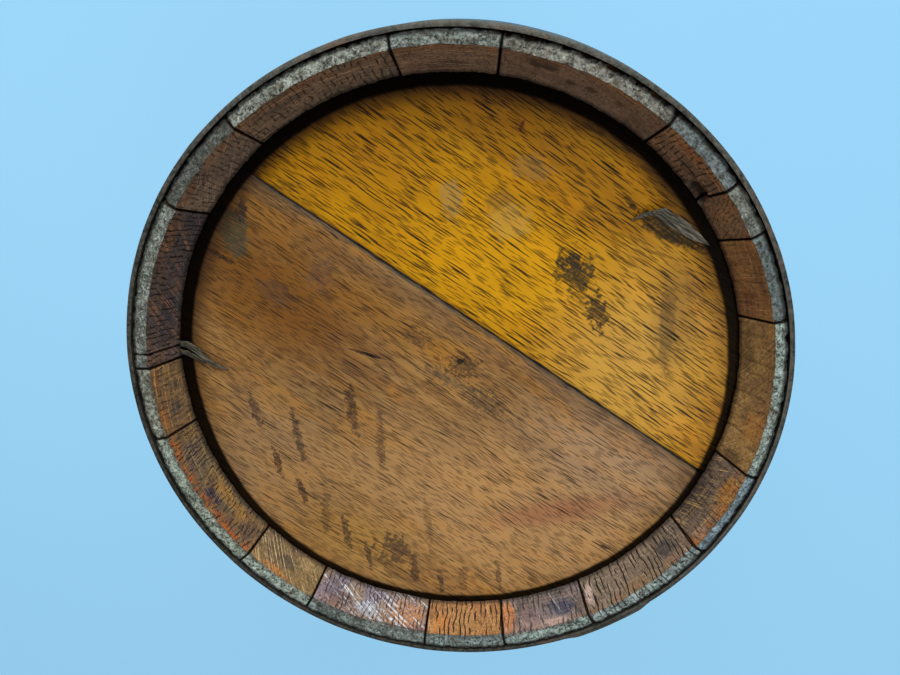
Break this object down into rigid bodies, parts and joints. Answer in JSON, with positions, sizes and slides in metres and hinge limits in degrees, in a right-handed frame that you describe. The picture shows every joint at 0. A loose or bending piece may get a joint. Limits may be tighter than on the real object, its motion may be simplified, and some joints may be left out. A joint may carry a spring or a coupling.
{
  "type": "wine barrel",
  "caption": "Small upright oak wine cask of bowed staves with recessed boarded heads, riveted iron hoops and a tapered bung that pulls out of its side.",
  "frame": {"origin": "middle of the lower end of the barrel, on the plane of the lower stave ends", "axes": "+Z along the barrel's axis, towards the upper head; the bung points 67.25 degrees anticlockwise from +X seen from above"},
  "size_m": [0.2828, 0.2828, 0.34],
  "materials": {
    "oak_stave": "worn, unvarnished, weathered grey at the ends",
    "oak_head_gold": "old oiled, half gloss",
    "oak_head_tan": "old oiled, half gloss",
    "oak_dowel": "matt",
    "iron_hoop": "dark grey-green patina with rust",
    "iron_rivet": "dark patina with rust",
    "oak_bung": "matt, wine-stained"
  },
  "bodies": {
    "cask": {"bung_stave": "oak_stave", "stave_02": "oak_stave", "stave_03": "oak_stave", "stave_04": "oak_stave", "stave_05": "oak_stave", "stave_06": "oak_stave", "stave_07": "oak_stave", "stave_08": "oak_stave", "stave_09": "oak_stave", "stave_10": "oak_stave", "stave_11": "oak_stave", "stave_12": "oak_stave", "stave_13": "oak_stave", "stave_14": "oak_stave", "stave_15": "oak_stave", "stave_16": "oak_stave", "stave_17": "oak_stave", "top_head_narrow_board": "oak_head_gold", "top_head_wide_board": "oak_head_tan", "bottom_head_narrow_board": "oak_head_gold", "bottom_head_wide_board": "oak_head_tan", "head_dowels": "oak_dowel", "top_chime_hoop": "iron_hoop", "top_quarter_hoop": "iron_hoop", "top_bilge_hoop": "iron_hoop", "bottom_bilge_hoop": "iron_hoop", "bottom_quarter_hoop": "iron_hoop", "bottom_chime_hoop": "iron_hoop", "hoop_rivets": "iron_rivet"},
    "bung": {"bung": "oak_bung"}
  },
  "joints": [
    {"name": "bung_draw", "type": "slide", "parent": "cask", "child": "bung", "axis": [0.3867, 0.9222, 0], "range_m": [0, 0.04]}
  ]
}
